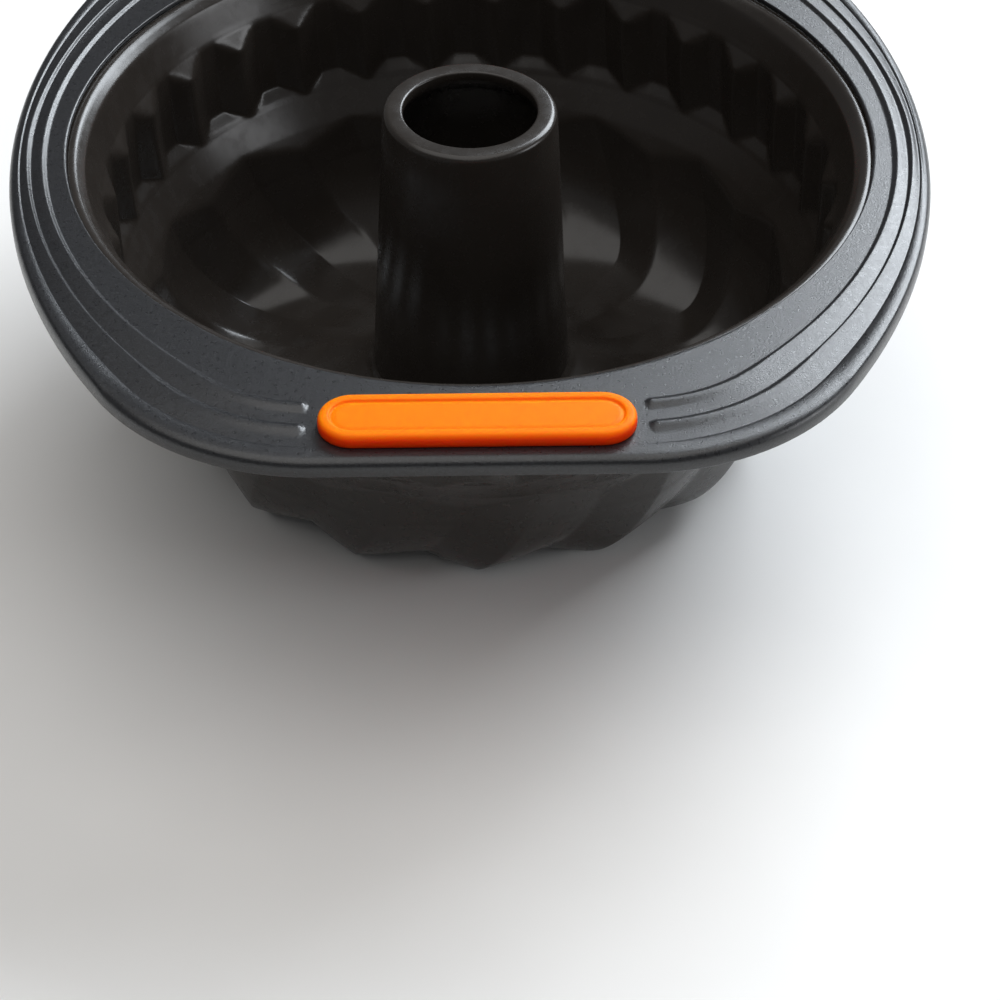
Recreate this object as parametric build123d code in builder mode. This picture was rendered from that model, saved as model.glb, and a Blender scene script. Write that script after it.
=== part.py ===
from build123d import *
import math
import os

# Fluted ring pan (bundt pan) in pressed sheet metal, with two silicone grips.
# Millimetres, +Z up. The origin is on the surface the pan stands on, under the chimney's axis,
# and the two handles lie on -Y (front) and +Y (back).

# Driving dimensions
depth = 100.0                # bottom of the lobes to the top face of the flange
wall = 1.0                   # sheet thickness of the bowl, flange and chimney
mouth_radius = 120.0         # inner edge of the flange
hem_width = 4.0              # folded inner edge of the flange
hem_thickness = 1.6
overshoot = 1.0              # how far a cutting body runs past the face it cuts

# Flange outline: long side arcs, round corners and straight handle edges
half_width = 136.5           # +X reach of the flange
half_length = 151.5          # +Y reach of the flange
corner_radius = 70.0         # round corners beside each handle
corner_x = 42.4              # centre of a round corner
corner_y = half_length - corner_radius
skirt_height = 5.0
skirt_round = 2.4

# Raised ribs that run along each side, as (reach at the side, radius at the corner)
rib_lines = [((125.4, 44.8), (129.3, 52.6)), ((130.0, 54.0), (132.8, 62.4))]
rib_height = 0.8
rib_end_x = 47.0
rib_nose = 0.45              # length of a rib's rounded end, as a share of its width

# Bowl: shoulder, an upper tier of small flutes and a lower tier of large swirled lobes
lip_reach = 126.0            # bowl lip under the flange's hem
ledge_outer = 118.0          # sloped ledge under the mouth
ledge_inner = 115.5
ledge_top = depth - 2.8
ledge_foot = depth - 5.2
ledge_round = 0.4            # width of the bevel along the ledge's outer edge
flute_count = 30
lobe_count = flute_count // 2
flute_phase = 7.1            # azimuth of a small crest where the flutes begin, degrees
lobe_phase = flute_phase + 180.0 / lobe_count
flute_top = depth - 15.0
flute_foot = depth - 47.0
flute_crest = 111.6          # outside radius of a small crest
flute_root = 108.3           # outside radius between small crests
flute_flat = 0.3             # flat crest of a small flute, as a share of its width
facet_height = 5.5           # height of the facets at the head of the small flutes
foot_facet_height = 6.4      # height of the facets at their foot
root_play = 0.4              # how far the flutes' roots lie inside the band that closes them
lobe_top = depth - 50.0      # where the lobes begin, inside the conical ring
lobe_rim = 102.5             # outside radius at the foot of the ring above the lobes
lobe_facet_height = 18.0     # height of the facets at the head of the lobes
lobe_facet_depth = 6.0       # how far those facets lean in
ring_height = 9.0            # conical ring between the two tiers
swirl_total = 14.5           # turn from the head of the flutes to the base, degrees
swirl_growth = 2.5           # above 1, the turn is slow near the rim and quick near the base

# Vertical sections of the lobes: start and end radius, and two powers that shape the curve between
lobe_crest_curve = (lobe_rim, 76.0, 2.2, 2.6)
lobe_root_curve = (lobe_rim - 2.4, 67.0, 2.2, 2.3)
lobe_levels = 9

# Chimney
chimney_top = depth + 8.3
chimney_lip_radius = 26.1
chimney_draft = 3.0          # degrees
chimney_foot = 14.0          # height of its foot above the table
bore_radius = 20.1
lip_outer_round = 1.8
lip_inner_round = 0.6
lip_height = 9.0             # height over which the rolled lip thins to the tube's wall
lip_neck = 0.6               # how far the lip has thinned halfway down that height
bore_height = 2.7            # straight part of the bore inside the lip
collar_height = 9.0          # bowl collar inside the chimney's foot

# Inner slope of the bowl, from the base ring to the chimney's foot, as (radius, height)
hub_lean = 0.6               # sideways share of the sheet's thickness along that slope
hub_slope = [(63.0, wall), (52.0, 3.2), (43.0, 7.0), (36.5, chimney_foot - 2.4)]

# Silicone grips
grip_centre = 136.8          # distance from the axis
grip_length = 84.0
grip_width = 18.5
grip_height = 4.0
grip_round = 1.3
panel_inset = 3.6            # border round the grip's sunk panel
panel_depth = 0.4
slot_length = 60.0
slot_width = 7.0
under_pad_length = 78.0
under_pad_width = 14.0
under_pad_height = 2.4


def swirl(z):
    """Turn of the flutes at height z, in degrees."""
    drop = max(0.0, flute_top - z) / flute_top
    return -swirl_total * drop**swirl_growth


def lobe_radius(curve, z):
    """Outside radius at height z of a lobe's crest or root."""
    start, end, power, bend = curve
    drop = (lobe_top - z) / lobe_top
    return end + (start - end) * (1.0 - drop**power) ** (1.0 / bend)


def star(z, crest, root, count, phase, flat=0.0):
    """Corners of a star with straight flanks and crests cut flat, as points on the plane at height z."""
    period = [(0.0, crest)] if flat == 0.0 else [(-0.5 * flat, crest), (0.5 * flat, crest)]
    corners = []
    for index in range(count):
        for share, radius in (*period, (0.5, root)):
            azimuth = math.radians(phase + swirl(z) + (index + share) * 360.0 / count)
            corners.append((radius * math.cos(azimuth), radius * math.sin(azimuth)))
    return corners


def side_curve(reach, bend):
    """Half of a flange line: its side arc's end, its corner arc's middle and the corner arc's end."""
    gap = reach - bend
    shift = (corner_x**2 + corner_y**2 - gap**2) / (2 * gap - 2 * corner_x)
    turn = math.atan2(corner_y, corner_x + shift)
    middle = 0.5 * (turn + math.pi / 2)
    join = (corner_x + bend * math.cos(turn), corner_y + bend * math.sin(turn))
    bulge = (corner_x + bend * math.cos(middle), corner_y + bend * math.sin(middle))
    return join, bulge, (corner_x, corner_y + bend)


def flange_outline(inset):
    """Wire of the flange's plan, drawn inset from its outer edge."""
    reach = half_width - inset
    join, bulge, top = side_curve(reach, corner_radius - inset)
    with BuildLine() as outline:
        for sx in (1, -1):
            ThreePointArc((sx * join[0], -join[1]), (sx * reach, 0), (sx * join[0], join[1]))
            for sy in (1, -1):
                ThreePointArc((sx * join[0], sy * join[1]), (sx * bulge[0], sy * bulge[1]),
                              (sx * top[0], sy * top[1]))
        for sy in (1, -1):
            Line((-top[0], sy * top[1]), (top[0], sy * top[1]))
    return outline.line


def rib_outline(inner, outer, side):
    """Wire of one rib: two flange lines joined by a rounded end at each handle."""
    with BuildLine() as outline:
        end_heights = []
        for reach, bend in (inner, outer):
            join, bulge, _ = side_curve(reach, bend)
            end_y = corner_y + math.sqrt(bend**2 - (rib_end_x - corner_x) ** 2)
            ThreePointArc((side * join[0], -join[1]), (side * reach, 0), (side * join[0], join[1]))
            for sy in (1, -1):
                ThreePointArc((side * join[0], sy * join[1]), (side * bulge[0], sy * bulge[1]),
                              (side * rib_end_x, sy * end_y))
            end_heights.append(end_y)
        near, far = end_heights
        nose_x = rib_end_x - rib_nose * (far - near)
        for sy in (1, -1):
            ThreePointArc((side * rib_end_x, sy * near), (side * nose_x, sy * 0.5 * (near + far)),
                          (side * rib_end_x, sy * far))
    return outline.line


def turned(points):
    """Solid made by turning a closed profile of (radius, height) points round the axis."""
    with BuildPart() as body:
        with BuildSketch(Plane.XZ):
            with BuildLine():
                Polyline(*points, close=True)
            make_face()
        revolve(axis=Axis.Z)
    return body.part


def smooth_body(inset, lift):
    """The bowl without flutes: shoulder, plain band, and the cone at the head of each tier."""
    lobe_cone_foot = lobe_top - lobe_facet_height
    outside = [
        (ledge_outer + ledge_round, depth),
        (ledge_outer + ledge_round, depth - hem_thickness),
        (ledge_outer, ledge_top),
        (ledge_inner, ledge_foot),
        (flute_crest, flute_top),
        (flute_root, flute_top - facet_height),
        (flute_root, flute_foot),
        (lobe_rim, flute_foot - ring_height),
        (lobe_rim - lobe_facet_depth, lobe_cone_foot),
    ]
    profile = [(radius - inset, z + lift) for radius, z in outside]
    return turned([(0, depth + lift), *profile, (0, lobe_cone_foot + lift)])


def flute_body(inset, lift):
    """Upper tier: a star prism whose crests are cut back to the ring at its foot."""
    ends = (flute_top + overshoot, flute_foot - overshoot)
    crest = flute_crest - inset
    root = flute_root - root_play - inset
    with BuildPart() as body:
        for z in ends:
            with BuildSketch(Plane.XY.offset(z + lift)):
                Polygon(*star(z, crest, root, flute_count, flute_phase, flute_flat), align=None)
        loft(ruled=True)
        add(turned([
            (0, ends[0] + lift),
            (crest + overshoot, ends[0] + lift),
            (crest + overshoot, flute_foot + foot_facet_height + lift),
            (root, flute_foot + lift),
            (0, flute_foot + lift),
        ]), mode=Mode.INTERSECT)
    return body.part


def lobe_body(inset, lift):
    """Lower tier: large lobes that turn as they go down and close in to the base."""
    with BuildPart() as body:
        for level in range(lobe_levels):
            z = lobe_top * (1.0 - math.sin(0.5 * math.pi * level / (lobe_levels - 1)))
            crest = lobe_radius(lobe_crest_curve, z) - inset
            root = lobe_radius(lobe_root_curve, z) - inset
            with BuildSketch(Plane.XY.offset(z + lift)):
                Polygon(*star(z, crest, root, lobe_count, lobe_phase), align=None)
        loft(ruled=True)
    return body.part


def chimney_radius(z):
    """Outside radius of the chimney at height z."""
    return chimney_lip_radius + (chimney_top - z) * math.tan(math.radians(chimney_draft))


def hub(drop):
    """Core under the bowl's inner slope; drop sets it below the upper face of the sheet."""
    collar_top = chimney_foot + collar_height
    slope = [(radius - hub_lean * drop, z - drop) for radius, z in hub_slope]
    floor = -drop - overshoot
    return turned([
        (0, floor),
        (slope[0][0], floor),
        *slope,
        (chimney_radius(chimney_foot) - wall - drop, chimney_foot - drop),
        (chimney_radius(collar_top) - wall - drop, collar_top + drop),
        (0, collar_top + drop),
    ])


def build_bowl():
    """Fluted, swirled bowl with a lip under the flange and a collar inside the chimney."""
    with BuildPart() as cavity:
        add(smooth_body(wall, wall))
        add(flute_body(wall, wall))
        add(lobe_body(wall, wall))
        add(hub(0.0), mode=Mode.SUBTRACT)
    with BuildPart() as bowl:
        add(smooth_body(0.0, 0.0))
        add(flute_body(0.0, 0.0))
        add(lobe_body(0.0, 0.0))
        with BuildSketch(Plane.XY.offset(depth - hem_thickness - wall)):
            Circle(lip_reach)
        extrude(amount=wall)
        with BuildSketch(Plane.XY.offset(depth - hem_thickness)):
            Circle(lip_reach + overshoot)
        extrude(amount=2.0 * hem_thickness, mode=Mode.SUBTRACT)
        add(cavity.part, mode=Mode.SUBTRACT)
        add(hub(wall), mode=Mode.SUBTRACT)
    bowl.part.label = "bowl"
    return bowl.part


def build_rim():
    """Pressed flange with a turned-down edge, ribs along the sides and a slot for each grip."""
    with BuildPart() as rim:
        with BuildSketch(Plane.XY.offset(depth - skirt_height)):
            add(flange_outline(0.0))
            make_face()
        extrude(amount=skirt_height)
        fillet(rim.edges().group_by(Axis.Z)[-1], skirt_round)
        with BuildSketch(Plane.XY.offset(depth - skirt_height)):
            add(flange_outline(wall))
            make_face()
            Circle(mouth_radius + hem_width, mode=Mode.SUBTRACT)
        extrude(amount=skirt_height - wall, mode=Mode.SUBTRACT)
        with BuildSketch(Plane.XY.offset(depth - skirt_height)):
            Circle(mouth_radius + hem_width)
        extrude(amount=skirt_height - hem_thickness, mode=Mode.SUBTRACT)
        for inner, outer in rib_lines:
            for side in (1, -1):
                with BuildSketch(Plane.XY.offset(depth - 0.5 * wall)):
                    add(rib_outline(inner, outer, side))
                    make_face()
                extrude(amount=0.5 * wall + rib_height)
        with BuildSketch(Plane.XY.offset(depth - skirt_height)):
            Circle(mouth_radius)
        extrude(amount=skirt_height + rib_height, mode=Mode.SUBTRACT)
        with BuildSketch(Plane.XY.offset(depth - wall)):
            with Locations((0, grip_centre), (0, -grip_centre)):
                SlotOverall(slot_length, slot_width)
        extrude(amount=wall, mode=Mode.SUBTRACT)
    rim.part.label = "rim"
    return rim.part


def build_chimney():
    """Tapered open tube with a thick rolled lip."""
    lip_foot = chimney_top - lip_height
    with BuildPart() as chimney:
        add(turned([
            (bore_radius, chimney_top),
            (chimney_radius(chimney_top), chimney_top),
            (chimney_radius(chimney_foot), chimney_foot),
            (chimney_radius(chimney_foot) - wall, chimney_foot),
            (chimney_radius(lip_foot) - wall, lip_foot),
            (bore_radius + lip_neck, chimney_top - 0.5 * lip_height),
            (bore_radius, chimney_top - bore_height),
        ]))
        for edge_order, size in ((-1, lip_outer_round), (0, lip_inner_round)):
            circles = chimney.edges().filter_by(GeomType.CIRCLE).group_by(Axis.Z)[-1]
            fillet(circles.sort_by(SortBy.RADIUS)[edge_order], size)
    chimney.part.label = "centre_tube"
    return chimney.part


def build_grip(name, side):
    """Silicone grip: pad with a sunk panel above the flange, web through its slot, pad below."""
    with BuildPart() as grip:
        with BuildSketch(Plane.XY.offset(depth)):
            with Locations((0, side * grip_centre)):
                SlotOverall(grip_length, grip_width)
        extrude(amount=grip_height)
        fillet(grip.edges().group_by(Axis.Z)[-1], grip_round)
        with BuildSketch(Plane.XY.offset(depth + grip_height - panel_depth)):
            with Locations((0, side * grip_centre)):
                SlotOverall(grip_length - 2 * panel_inset, grip_width - 2 * panel_inset)
        extrude(amount=panel_depth, mode=Mode.SUBTRACT)
        with BuildSketch(Plane.XY.offset(depth - wall)):
            with Locations((0, side * grip_centre)):
                SlotOverall(slot_length, slot_width)
        extrude(amount=wall)
        with BuildSketch(Plane.XY.offset(depth - wall - under_pad_height)):
            with Locations((0, side * grip_centre)):
                SlotOverall(under_pad_length, under_pad_width)
        extrude(amount=under_pad_height)
        fillet(grip.edges().group_by(Axis.Z)[0], grip_round)
    grip.part.label = name
    return grip.part


os.makedirs("parts", exist_ok=True)
pieces = [
    build_bowl(),
    build_rim(),
    build_chimney(),
    build_grip("front_handle_grip", -1),
    build_grip("back_handle_grip", 1),
]
for piece in pieces:
    export_step(piece, f"parts/{piece.label}.step")
    size = piece.bounding_box().size
    print(piece.label, len(piece.solids()), "solid", round(piece.volume), "mm3", size)
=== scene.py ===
"""Looks of the fluted ring pan: coated pressed steel with silicone grips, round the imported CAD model."""

import math

import bpy
import numpy as np
from mathutils import Matrix, Vector


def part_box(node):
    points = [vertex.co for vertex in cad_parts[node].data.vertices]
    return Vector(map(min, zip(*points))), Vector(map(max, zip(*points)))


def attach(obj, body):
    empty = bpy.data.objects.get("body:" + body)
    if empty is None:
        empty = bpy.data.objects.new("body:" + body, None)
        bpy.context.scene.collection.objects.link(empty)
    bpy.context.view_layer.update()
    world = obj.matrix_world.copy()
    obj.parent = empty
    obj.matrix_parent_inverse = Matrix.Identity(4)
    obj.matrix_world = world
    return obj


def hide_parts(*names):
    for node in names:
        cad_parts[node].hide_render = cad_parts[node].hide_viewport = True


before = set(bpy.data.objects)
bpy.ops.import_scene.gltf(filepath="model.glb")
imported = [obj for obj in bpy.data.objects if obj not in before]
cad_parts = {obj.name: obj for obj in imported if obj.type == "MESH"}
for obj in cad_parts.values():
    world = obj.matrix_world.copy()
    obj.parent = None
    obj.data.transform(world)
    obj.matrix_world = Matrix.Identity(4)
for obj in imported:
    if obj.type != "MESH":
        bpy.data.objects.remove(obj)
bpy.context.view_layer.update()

MM = 0.001
SKIRT_HEIGHT = 5.0                 # depth of the flange's turned-down edge, in millimetres

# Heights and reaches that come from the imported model, in millimetres
rim_low, rim_high = (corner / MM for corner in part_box("rim"))
tube_low, tube_high = (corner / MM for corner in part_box("centre_tube"))
grip_low, grip_high = (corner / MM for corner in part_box("back_handle_grip"))
DEPTH = rim_low.z + SKIRT_HEIGHT   # top face of the flange above the table
SKIRT_FOOT = rim_low.z
HALF_WIDTH = rim_high.x
HALF_LENGTH = rim_high.y
CHIMNEY_TOP = tube_high.z
CHIMNEY_FOOT = tube_low.z

# Sheet metal
WALL = 1.0
MOUTH = 120.0
HEM = 4.0
HEM_THICKNESS = 1.6

# Flange lines, as (reach at the side, radius at the corner)
CORNER = np.array((42.4, 81.5))
OUTLINE = (HALF_WIDTH, HALF_LENGTH - CORNER[1])
RIB_LINES = ((125.4, 44.8), (130.0, 54.0), (133.2, 63.3))
RIB_HEIGHT = 0.8
RIB_END = 45.2                     # distance of a rib's end from the middle
RIB_WIDTH = 4.6                    # width of a rib at its end
RIB_RISE = 1.8                     # width of a rib's inner slope
RIB_FALL = 1.6                     # width of its outer slope near the end
RIB_NOSE = 1.7                     # length of the slope round the end
RIB_SPREAD = 30.0                  # length over which a rib widens into a long slope
STEP_HEIGHT = 0.4                  # low step outside the ribs
STEP_RISE = 0.9
STEP_START = 30.0                  # the step starts here, and is full height STEP_BUILD further on
STEP_BUILD = 45.0
EDGE_ROUND = 2.6

# Bowl: small flutes above, large swirled lobes below
FLUTES = 30
LOBES = FLUTES // 2
FLUTE_PHASE = 7.1
LOBE_PHASE = FLUTE_PHASE + 180.0 / LOBES
FLUTE_TOP = DEPTH - 15.0
FLUTE_FOOT = DEPTH - 47.0
FLUTE_CREST = 111.6
FLUTE_ROOT = 107.9
FLUTE_FLAT = 0.3                   # flat crest of a small flute, as a share of its width
FACET_HEIGHT = 5.5                 # facets at the head of the small flutes
FOOT_FACET_HEIGHT = 6.4            # facets at their foot
FOOT_FACET_LEAN = 0.75             # reach lost for each millimetre down those facets
BAND_RADIUS = 108.3                # band that closes the grooves between the small flutes
SHOULDER = 117.0                   # where the band above the small flutes would meet the flange
LOBE_TOP = DEPTH - 50.0
LOBE_RIM = 102.5
RING_FOOT = FLUTE_FOOT - 9.0       # foot of the conical ring between the two tiers
LOBE_CONE_FOOT = LOBE_TOP - 18.0
LOBE_FACET_DEPTH = 6.0             # how far the facets at the head of the lobes lean in
ROOT_FLOOR = 1.5                   # the grooves between the lobes end this far above the table
SWIRL_TOTAL = 14.5                 # turn from the head of the flutes to the base, degrees
SWIRL_GROWTH = 2.5
PRESS_ROUND = 0.35                 # softness of the pressed edges
PLAY = 0.1                         # keeps the soft edges inside the CAD surface
BASE_GAP = 0.3                     # the crests of the lobes end this far above the table
BASE_TURN = 10.0                   # further turn from the base ring towards the axis, degrees
GRID_SPLIT = 71.0                  # depth below the flange where the rows of the base take over

# Vertical sections of the lobes: start and end radius, and two powers that shape the curve between
CREST_CURVE = (LOBE_RIM, 76.0, 2.2, 2.6)
ROOT_CURVE = (LOBE_RIM - 2.4, 67.0, 2.2, 2.3)

# Chimney
LIP_RADIUS = 26.1
LIP_OUTER_ROUND = 1.9
LIP_INNER_ROUND = 0.7
DRAFT = math.tan(math.radians(3.0))
BORE = 20.1
LIP_DEPTH = 2.6                    # straight part of the lip
LIP_NECK = ((0.8, 4.4), (3.4, 7.6))    # below it, steps out from the bore and their depth

# Grip pads and the slot between them, as (length, width)
GRIP_PAD = (84.0, 18.5)
UNDER_PAD = (78.0, 14.0)
SLOT = (60.0, 7.0)

# Camera, placed from the middle of the flange's top face
CAMERA_PLACE = (10.4, -702.0, 470.9)   # millimetres
CAMERA_PITCH = 41.33
CAMERA_ROLL = 0.285
CAMERA_YAW = -1.5
LENS = 100.8
SHIFT = -0.003


def smooth_step(x):
    x = np.clip(x, 0.0, 1.0)
    return x * x * (3.0 - 2.0 * x)


def soft_max(a, b, width):
    return 0.5 * (a + b + np.sqrt((a - b) ** 2 + width**2))


def soft_min(a, b, width):
    return -soft_max(-a, -b, width)


def grid_mesh(name, points, close_rows=False, caps=False):
    """Mesh of a grid of points (rows, columns, 3) in millimetres whose columns run round and meet."""
    rows, columns = points.shape[:2]
    index = np.arange(rows * columns).reshape(rows, columns)
    upper = np.roll(index, -1, axis=0) if close_rows else index[1:]
    lower = index if close_rows else index[:-1]
    quads = np.stack((lower, np.roll(lower, -1, axis=1), np.roll(upper, -1, axis=1), upper), axis=-1)
    faces = quads.reshape(-1, 4).tolist()
    if caps:
        faces += strip(index[0][::-1]) + strip(index[-1])
    mesh = bpy.data.meshes.new(name)
    mesh.from_pydata((points.reshape(-1, 3) * MM).tolist(), [], faces)
    mesh.polygons.foreach_set("use_smooth", [True] * len(mesh.polygons))
    mesh.update()
    return mesh


def strip(loop):
    """Faces that fill an oblong loop from side to side, starting in the middle of its right end."""
    count = len(loop)
    half = count // 2
    right = [int(loop[(half // 2 + n) % count]) for n in range(half)]
    left = [int(loop[(half // 2 - 1 - n) % count]) for n in range(half)]
    return [[left[n], right[n], right[n + 1], left[n + 1]] for n in range(half - 1)]


def place(name, mesh, node, material):
    """Puts a mesh in the scene in place of a CAD node."""
    piece = bpy.data.objects.new(name, mesh)
    bpy.context.scene.collection.objects.link(piece)
    mesh.materials.append(material)
    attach(piece, "root")
    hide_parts(node)
    return piece


# Bowl

def swirl(z):
    """Turn of the flutes at height z, in degrees."""
    drop = np.maximum(0.0, FLUTE_TOP - z) / FLUTE_TOP
    return -SWIRL_TOTAL * drop**SWIRL_GROWTH


def lobe_radius(curve, z):
    """Outside radius at height z of a lobe's crest or root."""
    start, end, power, bend = curve
    drop = np.clip((LOBE_TOP - z) / LOBE_TOP, 0.0, 1.0)
    return end + (start - end) * (1.0 - drop**power) ** (1.0 / bend)


def along(keys, count):
    """Catmull-Rom curve through key rows, with count steps between each pair."""
    keys = np.array(keys, float)
    padded = np.vstack((2 * keys[0] - keys[1], keys, 2 * keys[-1] - keys[-2]))
    t = np.linspace(0.0, 1.0, count, endpoint=False)[:, None]
    rows = []
    for a, b, c, d in zip(padded, padded[1:], padded[2:], padded[3:]):
        rows.append(0.5 * (2 * b + (c - a) * t + (2 * a - 5 * b + 4 * c - d) * t**2
                           + (3 * b - 3 * c + d - a) * t**3))
    return np.vstack(rows + [keys[-1:]])


def flute_columns():
    """Azimuths of the grid columns, closer together at each crest and root, in degrees."""
    step = 360.0 / FLUTES
    near = step * np.array((0.0, 0.035, 0.09, 0.135, 0.165, 0.21, 0.31, 0.40, 0.46))
    period = np.concatenate((near, (step / 2,), step - near[:0:-1]))
    return np.concatenate([FLUTE_PHASE + n * step + period for n in range(FLUTES)])


def wave(azimuth, count, phase, softness, flat=0.0):
    """1 on each crest, which may be flat, and 0 midway between crests, with softened turns."""
    half = 180.0 / count
    away = np.abs((azimuth - phase + half) % (2 * half) - half) / half
    down = (away - flat) / (1.0 - flat)
    near_crest = soft_max(down, 0.0, softness)
    near_root = np.sqrt((1.0 - down) ** 2 + softness**2)
    return (near_root / (near_crest + near_root))[None, :]


def lip_rows():
    """Bowl lip under the flange, flat ledge, slope and plain band above the flutes."""
    lip = [(126.0, -3.0), (122.0, -3.1), (120.4, -3.1), (119.8, -2.8), (119.2, -2.62), (118.3, -2.62),
           (117.7, -2.9)]
    slope = [lip[-1], (115.95, -4.6), (115.6, -5.05), (115.3, -5.7)]
    band = [slope[-1], (113.7, -9.8), (112.2, -13.6)]
    return np.vstack((along(lip, 2)[:-1], along(slope, 3)[:-1], along(band, 3)))


def wall_rows(small, large):
    """Flutes, conical ring and the upper lobes: radius and height of each grid point."""
    drops = ((14.3, 22.0, 16), (23.5, 38.0, 5), (39.5, 50.5, 14), (51.3, GRID_SPLIT, 26))
    z = DEPTH - np.concatenate([np.linspace(*span) for span in drops])[:, None]
    core_line = (
        (LOBE_CONE_FOOT - 6.0, LOBE_RIM - 9.5),
        (LOBE_CONE_FOOT, LOBE_RIM - LOBE_FACET_DEPTH),
        (RING_FOOT, LOBE_RIM),
        (FLUTE_FOOT, BAND_RADIUS - 0.3),
        (FLUTE_TOP - FACET_HEIGHT, BAND_RADIUS),
        (FLUTE_TOP, FLUTE_CREST + PLAY),
        (DEPTH, SHOULDER),
    )
    core = np.interp(z, *zip(*core_line))
    star = FLUTE_ROOT + (FLUTE_CREST - FLUTE_ROOT) * small
    foot_slope = FLUTE_CREST + 1.0 + (z - (FLUTE_FOOT + FOOT_FACET_HEIGHT)) * FOOT_FACET_LEAN
    flutes = soft_max(core, soft_min(star, foot_slope, PRESS_ROUND), PRESS_ROUND)
    crest = lobe_radius(CREST_CURVE, z)
    root = lobe_radius(ROOT_CURVE, z)
    lobes = root + (crest - root) * large
    radius = soft_max(flutes, lobes, PRESS_ROUND) - PLAY
    below = smooth_step((LOBE_CONE_FOOT - z) / 2.0)
    return radius * (1 - below) + lobes * below, z + 0 * radius


def base_rows(large):
    """Lower lobes, base ring and inner slope up to the collar inside the chimney."""
    crest_end = CREST_CURVE[1]
    root_end = ROOT_CURVE[1]
    start = (GRID_SPLIT - DEPTH + LOBE_TOP) / LOBE_TOP
    drop = np.sin(np.linspace(math.asin(start), math.pi / 2, 26))[1:]
    crest_z = LOBE_TOP * (1.0 - drop)
    root_z = ROOT_FLOOR * smooth_step((drop - start) / (1 - start)) + crest_z
    crest_r = lobe_radius(CREST_CURVE, crest_z)
    root_r = lobe_radius(ROOT_CURVE, crest_z)
    lobes = np.stack((crest_r, crest_z + BASE_GAP, root_r, root_z), axis=-1)
    inward = along([
        # crest radius, crest height, root radius, root height
        (crest_end, BASE_GAP, root_end, ROOT_FLOOR),
        (66.0, 0.4, 61.5, 1.6),
        (57.6, 1.4, 55.0, 3.2),
        (50.0, 3.6, 48.6, 4.8),
        (42.4, 7.4, 42.0, 7.9),
        (35.6, 11.2, 35.6, 11.2),
        (31.6, 13.6, 31.6, 13.6),
        (29.2, 17.6, 29.2, 17.6),
        (28.7, 23.8, 28.7, 23.8),
    ], 4)[1:]
    keys = np.vstack((lobes, inward))
    radius = keys[:, 2:3] + (keys[:, :1] - keys[:, 2:3]) * large
    height = keys[:, 3:4] + (keys[:, 1:2] - keys[:, 3:4]) * large
    inward_turn = -SWIRL_TOTAL - BASE_TURN * (1.0 - inward[:, 0] / crest_end)
    turn = np.concatenate((swirl(crest_z), inward_turn))[:, None]
    return radius, height, turn


def make_bowl(material):
    columns = flute_columns()
    small = wave(columns, FLUTES, FLUTE_PHASE, 0.06, FLUTE_FLAT)
    large = wave(columns, LOBES, LOBE_PHASE, 0.05)
    lip = lip_rows()
    lip_r = np.repeat(lip[:, :1], len(columns), axis=1)
    lip_z = np.repeat(DEPTH + lip[:, 1:], len(columns), axis=1)
    wall_r, wall_z = wall_rows(small, large)
    base_r, base_z, base_turn = base_rows(large)
    radius = np.vstack((lip_r, wall_r, base_r))
    height = np.vstack((lip_z, wall_z, base_z))
    turn = np.vstack((swirl(lip_z), swirl(wall_z), base_turn + 0 * base_r))
    azimuth = np.radians(columns[None, :] + turn)
    points = np.stack((radius * np.cos(azimuth), radius * np.sin(azimuth), height), axis=-1)
    mesh = grid_mesh("bowl_shell", points[::-1])
    piece = place("bowl_shell", mesh, "bowl", material)
    sheet = piece.modifiers.new("sheet", "SOLIDIFY")
    sheet.thickness = WALL * MM
    sheet.offset = -1.0
    return piece


# Flange

def line_point(reach, bend, normal):
    """Point of a flange line in the first quarter whose outward normal points at that angle."""
    gap = reach - bend
    shift = (CORNER @ CORNER - gap**2) / (2 * gap - 2 * CORNER[0])
    join = math.atan2(CORNER[1], CORNER[0] + shift)
    facing = np.array((math.cos(normal), math.sin(normal)))
    if normal < join:
        return np.array((-shift, 0.0)) + (reach + shift) * facing
    return CORNER + bend * facing


def flange_columns():
    """Rails of the first quarter from +X to the handle's middle: mouth, rib lines and outer edge."""
    normals = np.radians(np.concatenate((np.arange(0.0, 74.0, 1.0), np.arange(74.0, 90.01, 0.5))))
    lines = (*RIB_LINES, OUTLINE)
    rails = [[line_point(*line, normal) for line in lines] for normal in normals]
    for x in np.linspace(CORNER[0], 0.0, 15)[1:]:
        rails.append([np.array((x, CORNER[1] + bend)) for _, bend in lines])
    mouth = [MOUTH * rail[-1] / np.linalg.norm(rail[-1]) for rail in rails]
    return np.array([[m, *rail] for m, rail in zip(mouth, rails)])


def rib_relief(t, marks, x):
    """Raised height at distance t along a rail whose rib lines are at marks, x from the middle."""
    relief = np.zeros_like(t)
    for start, stop in zip(marks[:2], marks[1:3]):
        width = min(RIB_WIDTH, stop - start)
        nose = np.clip(1 - ((t - start - width / 2) / (width / 2)) ** 2, 0.0, 1.0)
        inside = x - (RIB_END + width / 2 * (1 - np.sqrt(nose)))
        ramp = smooth_step(inside / RIB_NOSE + 0.2)
        rise = smooth_step((t - start) / RIB_RISE)
        ridge_fall = 1 - smooth_step((t - start - width + RIB_FALL) / RIB_FALL)
        slope_length = max(stop - start - RIB_RISE, 0.1)
        long_fall = 1 - np.clip((t - start - RIB_RISE) / slope_length, 0.0, 1.0) ** 1.3
        spread = smooth_step((x - RIB_END) / RIB_SPREAD)
        relief += RIB_HEIGHT * ramp * rise * (ridge_fall * (1 - spread) + long_fall * spread)
    past_line = t - marks[2]
    fall = np.clip((past_line - STEP_RISE) / (marks[3] - marks[2] - STEP_RISE), 0, 1)
    step = smooth_step(past_line / STEP_RISE) * (1 - fall)
    relief += STEP_HEIGHT * step * smooth_step((x - STEP_START) / STEP_BUILD)
    return relief


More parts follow.
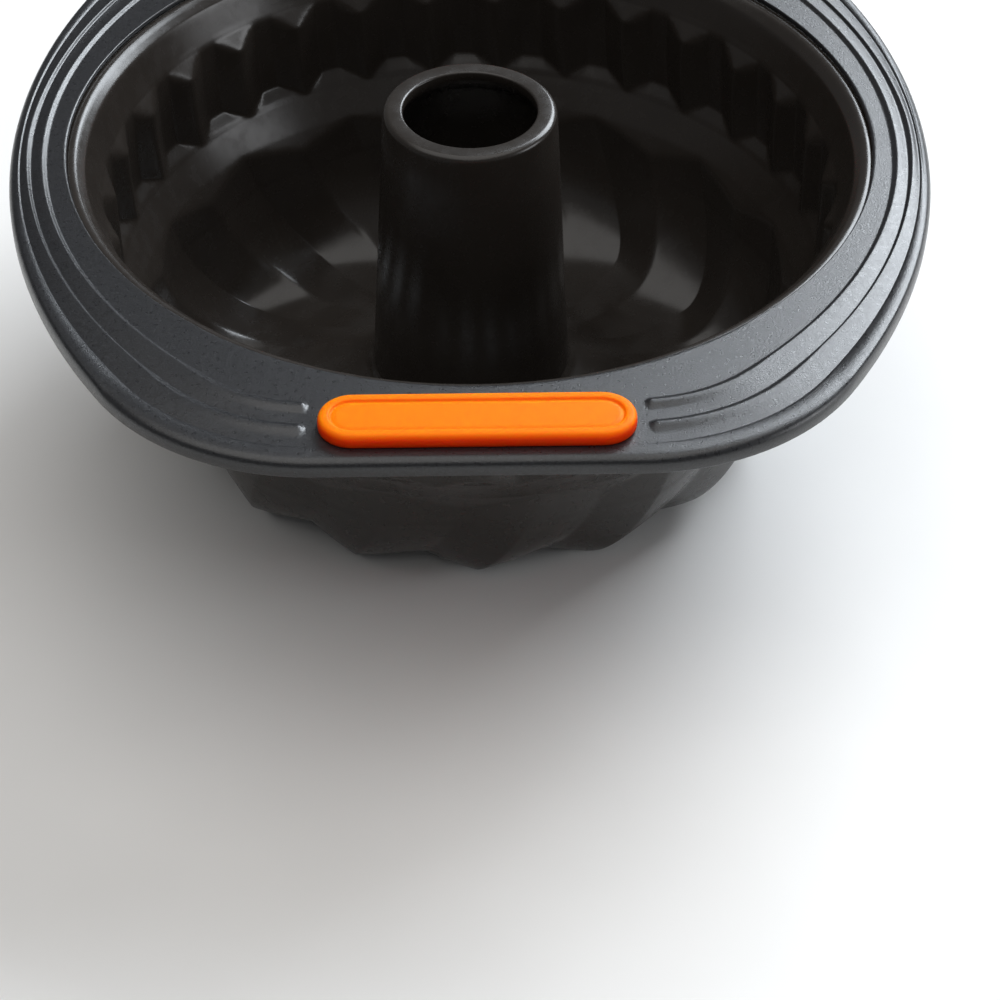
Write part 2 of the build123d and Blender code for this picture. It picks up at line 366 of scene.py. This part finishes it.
def top_stations(marks):
    """Distances along a rail from the hem to the rolled edge, closer together at the rib lines."""
    stations = np.concatenate((
        np.linspace(HEM_THICKNESS / 2 + 0.6, marks[1] - 0.8, 5),
        marks[1] + np.linspace(-0.2, 2.0, 8),
        np.linspace(marks[1] + 2.4, marks[2] - 0.5, 7),
        marks[2] + np.linspace(-0.1, 2.0, 7),
        np.linspace(marks[2] + 2.4, max(marks[3] - 0.4, marks[2] + 2.6), 6),
        marks[3] + np.linspace(0.0, 0.8, 4),
    ))
    return np.clip(np.maximum.accumulate(stations), 0.0, marks[-1] - EDGE_ROUND - 0.05)


def flange_profile(rail):
    """Closed section of the flange along one rail, as (x, y, z) points in millimetres."""
    legs = np.linalg.norm(np.diff(rail, axis=0), axis=1)
    marks = np.concatenate(([0.0], np.cumsum(legs)))
    edge = marks[-1]
    quarter = np.radians(np.linspace(90, 0, 7))
    nose = HEM_THICKNESS / 2
    fold = np.radians(np.linspace(270, 90, 7))
    top_t = top_stations(marks)
    x = abs((rail[1] + (rail[-1] - rail[1]) * 0.3)[0])
    relief = rib_relief(top_t, marks[1:], x)
    hem_t = nose + nose * np.cos(fold)
    hem_z = -nose + nose * np.sin(fold)
    roll_t = edge - EDGE_ROUND + EDGE_ROUND * np.cos(quarter)
    roll_z = -EDGE_ROUND + EDGE_ROUND * np.sin(quarter)
    skirt = SKIRT_FOOT - DEPTH
    inner = EDGE_ROUND - WALL
    inner_t = edge - EDGE_ROUND + inner * np.cos(quarter[::-1])
    inner_z = -EDGE_ROUND + inner * np.sin(quarter[::-1])
    skirt_t = (edge, edge - 0.15, edge - WALL + 0.15, edge - WALL)
    skirt_z = (skirt + 0.3, skirt, skirt, skirt + 0.3)
    back_t = top_t[::-1][:-2]
    back_z = (relief - WALL)[::-1][:-2]
    t = np.concatenate((hem_t, top_t, roll_t, skirt_t, inner_t, back_t, (HEM, HEM)))
    z = np.concatenate((hem_z, relief, roll_z, skirt_z, inner_z, back_z, (-WALL, -HEM_THICKNESS)))
    x_at = np.interp(t, marks, rail[:, 0])
    y_at = np.interp(t, marks, rail[:, 1])
    return np.stack((x_at, y_at, DEPTH + z), axis=-1)


def make_flange(material):
    quarter = np.array([flange_profile(rail) for rail in flange_columns()])
    mirror_x, mirror_y = np.array((-1, 1, 1)), np.array((1, -1, 1))
    half = np.concatenate((quarter, (quarter * mirror_x)[::-1][1:]))
    ring = np.concatenate((half, (half * mirror_y)[::-1][1:-1]))
    mesh = grid_mesh("rim_flange", ring.transpose(1, 0, 2), close_rows=True)
    return place("rim_flange", mesh, "rim", material)


# Chimney

def tube_point(drop, inset=0.0):
    """Point of the tube's outer face, or of a face inset from it, at a depth below the top."""
    return (LIP_RADIUS + drop * DRAFT - inset, CHIMNEY_TOP - drop)


def make_chimney(material):
    """Open tapered tube with a rolled lip."""
    length = CHIMNEY_TOP - CHIMNEY_FOOT
    outer_at = (LIP_RADIUS - LIP_OUTER_ROUND, CHIMNEY_TOP - LIP_OUTER_ROUND)
    inner_at = (BORE + LIP_INNER_ROUND, CHIMNEY_TOP - LIP_INNER_ROUND)
    section = [tube_point(length, WALL), tube_point(length)]
    section += [tube_point(drop) for drop in np.linspace(0.98 * length, LIP_DEPTH, 8)]
    section += arc_points(outer_at, LIP_OUTER_ROUND, 0, 90, 9)
    section += arc_points(inner_at, LIP_INNER_ROUND, 90, 180, 6)
    section.append((BORE, CHIMNEY_TOP - LIP_DEPTH))
    section += [(BORE + step, CHIMNEY_TOP - drop) for step, drop in LIP_NECK]
    section += [tube_point(drop, WALL) for drop in np.linspace(9.5, 0.98 * length, 6)]
    angles = np.linspace(0, 2 * math.pi, 128, endpoint=False)
    points = np.array([[(r * math.cos(a), r * math.sin(a), z) for a in angles] for r, z in section])
    mesh = grid_mesh("chimney_tube", points, close_rows=True)
    return place("chimney_tube", mesh, "centre_tube", material)


def arc_points(centre, radius, start, stop, count):
    """Points of an arc between two angles in degrees."""
    angles = np.radians(np.linspace(start, stop, count))
    return [(centre[0] + radius * math.cos(a), centre[1] + radius * math.sin(a)) for a in angles]


# Grips

def stadium(half_straight, radius, count=24):
    """Closed outline of a slot shape, counter-clockwise."""
    right = np.radians(np.linspace(-90, 90, count))
    left = right + math.pi
    return np.concatenate((
        np.stack((half_straight + radius * np.cos(right), radius * np.sin(right)), axis=-1),
        np.stack((-half_straight + radius * np.cos(left), radius * np.sin(left)), axis=-1),
    ))


def straight_and_radius(size):
    """Half the straight length and the end radius of a slot shape of this length and width."""
    length, width = size
    return (length - width) / 2, width / 2


def make_grip(name, node, side, material):
    """Pad above the flange with a sunk panel, web through the slot and pad below."""
    top = grip_high.z - DEPTH
    bottom = grip_low.z - DEPTH
    pad = straight_and_radius(GRIP_PAD)
    under = straight_and_radius(UNDER_PAD)
    web = straight_and_radius(SLOT)
    loops = [
        # half straight length, radius, inset, height above the flange
        (*under, 6.9, bottom), (*under, 3.0, bottom), (*under, 1.2, bottom), (*under, 0.5, bottom + 0.25),
        (*under, 0.1, bottom + 0.7), (*under, 0.0, bottom + 1.2), (*under, 0.0, -WALL),
        (*web, 0.0, -WALL), (*web, 0.0, 0.0), (*pad, 0.3, 0.0), (*pad, 0.05, 0.3), (*pad, 0.0, 0.8),
        (*pad, 0.0, top - 1.7), (*pad, 0.12, top - 1.0), (*pad, 0.42, top - 0.46), (*pad, 0.9, top - 0.13),
        (*pad, 1.5, top), (*pad, 2.5, top), (*pad, 2.85, top - 0.06), (*pad, 3.1, top - 0.26),
        (*pad, 3.3, top - 0.58), (*pad, 3.6, top - 0.66), (*pad, 3.95, top - 0.56), (*pad, 4.4, top - 0.42),
        (*pad, 5.2, top - 0.4),
    ]
    points = np.array([
        [(x, y, DEPTH + z) for x, y in stadium(half, radius - inset)]
        for half, radius, inset, z in loops
    ])
    points[:, :, 1] += side * (grip_low.y + grip_high.y) / 2
    mesh = grid_mesh(name, points, caps=True)
    return place(name, mesh, node, material)


# Materials

class Shading:
    """Small helper that adds nodes to one material and links them."""

    def __init__(self, name):
        self.material = bpy.data.materials.new(name)
        self.material.use_nodes = True
        self.nodes = self.material.node_tree.nodes
        self.links = self.material.node_tree.links
        self.shader = self.nodes["Principled BSDF"]
        self.place = self.nodes.new("ShaderNodeTexCoord").outputs["Object"]

    def noise(self, scale, detail=3.0, rough=0.55):
        node = self.nodes.new("ShaderNodeTexNoise")
        node.inputs["Scale"].default_value = scale
        node.inputs["Detail"].default_value = detail
        node.inputs["Roughness"].default_value = rough
        self.links.new(self.place, node.inputs["Vector"])
        return node.outputs["Fac"]

    def ramp(self, source, low, high, at_low, at_high):
        node = self.nodes.new("ShaderNodeMapRange")
        node.inputs["From Min"].default_value = low
        node.inputs["From Max"].default_value = high
        node.inputs["To Min"].default_value = at_low
        node.inputs["To Max"].default_value = at_high
        self.links.new(source, node.inputs["Value"])
        return node.outputs["Result"]

    def facing_up(self):
        """0 on upright faces and below, 1 on faces that look up."""
        geometry = self.nodes.new("ShaderNodeNewGeometry")
        split = self.nodes.new("ShaderNodeSeparateXYZ")
        self.links.new(geometry.outputs["Normal"], split.inputs["Vector"])
        return self.ramp(split.outputs["Z"], 0.1, 0.9, 0.0, 1.0)

    def mix(self, factor, dark, light):
        node = self.nodes.new("ShaderNodeMix")
        node.data_type = "RGBA"
        node.inputs["A"].default_value = (*dark, 1.0)
        node.inputs["B"].default_value = (*light, 1.0)
        self.links.new(factor, node.inputs["Factor"])
        return node.outputs["Result"]

    def bump(self, height, distance, strength, under=None):
        node = self.nodes.new("ShaderNodeBump")
        node.inputs["Distance"].default_value = distance
        node.inputs["Strength"].default_value = strength
        self.links.new(height, node.inputs["Height"])
        if under is not None:
            self.links.new(under, node.inputs["Normal"])
        return node.outputs["Normal"]

    def wire(self, output, socket):
        self.links.new(output, self.shader.inputs[socket])


def flange_coating():
    """Satin black coating with a fine sandy grain."""
    look = Shading("flange_coating")
    speck = look.ramp(look.noise(1500.0, 3.0, 0.7), 0.42, 0.64, 0.0, 1.0)
    look.wire(look.mix(speck, (0.005, 0.005, 0.006), (0.016, 0.017, 0.020)), "Base Color")
    look.wire(look.ramp(look.noise(700.0, 3.0), 0.3, 0.7, 0.26, 0.36), "Roughness")
    grain = look.bump(look.noise(1700.0, 3.0, 0.7), 0.00010, 0.75)
    look.wire(look.bump(look.noise(140.0, 2.0), 0.0002, 0.12, grain), "Normal")
    look.shader.inputs["Specular IOR Level"].default_value = 0.65
    return look.material


def nonstick_coating():
    """Semi-gloss dark brown-black non-stick finish with faint orange peel."""
    look = Shading("nonstick_coating")
    mottled = look.ramp(look.noise(45.0, 4.0), 0.3, 0.7, 0.0, 1.0)
    look.wire(look.mix(mottled, (0.019, 0.0155, 0.013), (0.023, 0.019, 0.016)), "Base Color")
    look.wire(look.ramp(look.noise(220.0, 3.0), 0.3, 0.7, 0.22, 0.30), "Roughness")
    peel = look.bump(look.noise(420.0, 1.0), 0.00003, 0.12)
    look.wire(look.bump(look.noise(55.0, 1.0), 0.0003, 0.06, peel), "Normal")
    look.shader.inputs["Specular IOR Level"].default_value = 0.45
    return look.material


def silicone():
    """Soft orange silicone with a low sheen; painted light makes the faces that look up a lighter orange
    and painted shade makes the upright faces a deeper red.
    """
    look = Shading("silicone")
    # Painted light and shade: the orange is mixed by how far a face looks up, lighter orange on top and
    # deeper red on the upright sides
    look.wire(look.mix(look.facing_up(), (0.80, 0.04, 0.0), (1.0, 0.21, 0.0)), "Base Color")
    look.wire(look.ramp(look.noise(500.0, 2.0), 0.3, 0.7, 0.42, 0.52), "Roughness")
    look.wire(look.bump(look.noise(1500.0, 2.0), 0.00004, 0.25), "Normal")
    look.shader.inputs["Specular IOR Level"].default_value = 0.08
    look.shader.inputs["Subsurface Weight"].default_value = 0.9
    look.shader.inputs["Subsurface Radius"].default_value = (1.0, 0.15, 0.02)
    look.shader.inputs["Subsurface Scale"].default_value = 0.003
    return look.material


# Setting

def make_floor():
    """Pale plain floor, three metres each way."""
    mesh = bpy.data.meshes.new("floor")
    reach = 3.0
    corners = [(-reach, -reach, 0), (reach, -reach, 0), (reach, reach, 0), (-reach, reach, 0)]
    mesh.from_pydata(corners, [], [(0, 1, 2, 3)])
    floor = bpy.data.objects.new("floor", mesh)
    bpy.context.scene.collection.objects.link(floor)
    look = Shading("floor")
    cloudy = look.ramp(look.noise(8.0, 3.0), 0.3, 0.7, 0.0, 1.0)
    look.wire(look.mix(cloudy, (0.80, 0.79, 0.775), (0.85, 0.84, 0.825)), "Base Color")
    look.shader.inputs["Roughness"].default_value = 0.6
    mesh.materials.append(look.material)


def area_light(name, place_at, aim_at, size, power, colour):
    """Rectangular light at a place in metres, aimed at a point."""
    lamp = bpy.data.lights.new(name, "AREA")
    lamp.shape = "RECTANGLE"
    lamp.size, lamp.size_y = size
    lamp.energy = power
    lamp.color = colour
    light = bpy.data.objects.new(name, lamp)
    bpy.context.scene.collection.objects.link(light)
    light.location = place_at
    light.rotation_euler = (Vector(aim_at) - Vector(place_at)).to_track_quat("-Z", "Y").to_euler()


def make_lights():
    """A broad window behind the pan on the right, a ceiling light, a small side light and a dim sky."""
    world = bpy.data.worlds.new("studio")
    world.use_nodes = True
    sky = world.node_tree.nodes["Background"]
    sky.inputs["Color"].default_value = (0.95, 0.97, 1.0, 1.0)
    sky.inputs["Strength"].default_value = 0.15
    bpy.context.scene.world = world
    bpy.context.scene.view_settings.view_transform = "Standard"
    area_light("window", (1.24, 1.62, 1.5), (0, 0, 0.08), (1.8, 1.2), 84.0, (0.88, 0.94, 1.0))
    area_light("ceiling", (-0.2, -0.3, 2.2), (0, 0, 0), (3.0, 3.0), 38.0, (1.0, 0.985, 0.96))
    area_light("side", (2.0, -0.4, 0.55), (0, 0, 0.05), (1.0, 0.7), 9.0, (0.95, 0.97, 1.0))


def make_camera():
    """Camera at the view's angle: it looks down along +Y, rolled and turned a little."""
    camera = bpy.data.objects.new("camera", bpy.data.cameras.new("camera"))
    bpy.context.scene.collection.objects.link(camera)
    camera.data.lens = LENS
    camera.data.sensor_width = 36.0
    camera.data.shift_x = SHIFT
    turn = Matrix.Rotation(math.radians(CAMERA_YAW), 4, "Z")
    tilt = Matrix.Rotation(math.radians(90.0 - CAMERA_PITCH), 4, "X")
    roll = Matrix.Rotation(math.radians(CAMERA_ROLL), 4, "Z")
    place_at = Matrix.Translation(Vector(CAMERA_PLACE) * MM)
    up_to_flange = Matrix.Translation((0, 0, DEPTH * MM))
    camera.matrix_world = up_to_flange @ turn @ place_at @ tilt @ roll
    bpy.context.scene.camera = camera


coating = nonstick_coating()
rubber = silicone()
make_bowl(coating)
make_flange(flange_coating())
make_chimney(coating)
make_grip("front_grip", "front_handle_grip", -1, rubber)
make_grip("back_grip", "back_handle_grip", 1, rubber)
make_floor()
make_lights()
make_camera()
